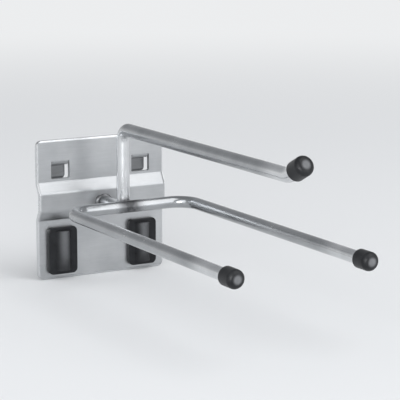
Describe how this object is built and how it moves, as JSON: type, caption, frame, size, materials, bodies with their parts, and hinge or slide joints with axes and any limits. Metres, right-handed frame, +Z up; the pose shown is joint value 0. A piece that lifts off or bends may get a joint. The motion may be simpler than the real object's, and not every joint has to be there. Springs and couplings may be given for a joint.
{
  "type": "pegboard hook",
  "caption": "Zinc plated pegboard hook: a pressed base plate with hook lugs and lock clips, a low fork and an upper prong, all with black end caps.",
  "frame": {"origin": "on the base plate's rear face, midway between the two lower holes that the lock clips snap into", "axes": "+X to the right seen from the front, -Y out of the panel along the prongs, +Z up"},
  "size_m": [0.0632, 0.1691, 0.0739],
  "materials": {
    "zinc_sheet": "bright zinc plated, satin",
    "zinc_wire": "bright zinc plated, semi-gloss",
    "black_cap": "dipped soft plastic, semi-gloss",
    "black_clip": "moulded, semi-gloss"
  },
  "bodies": {
    "root": {"base_plate": "zinc_sheet", "lower_wire": "zinc_wire", "upper_wire": "zinc_wire", "cap_lower_left": "black_cap", "cap_lower_right": "black_cap", "cap_upper": "black_cap", "clip_left": "black_clip", "clip_right": "black_clip"}
  },
  "joints": []
}
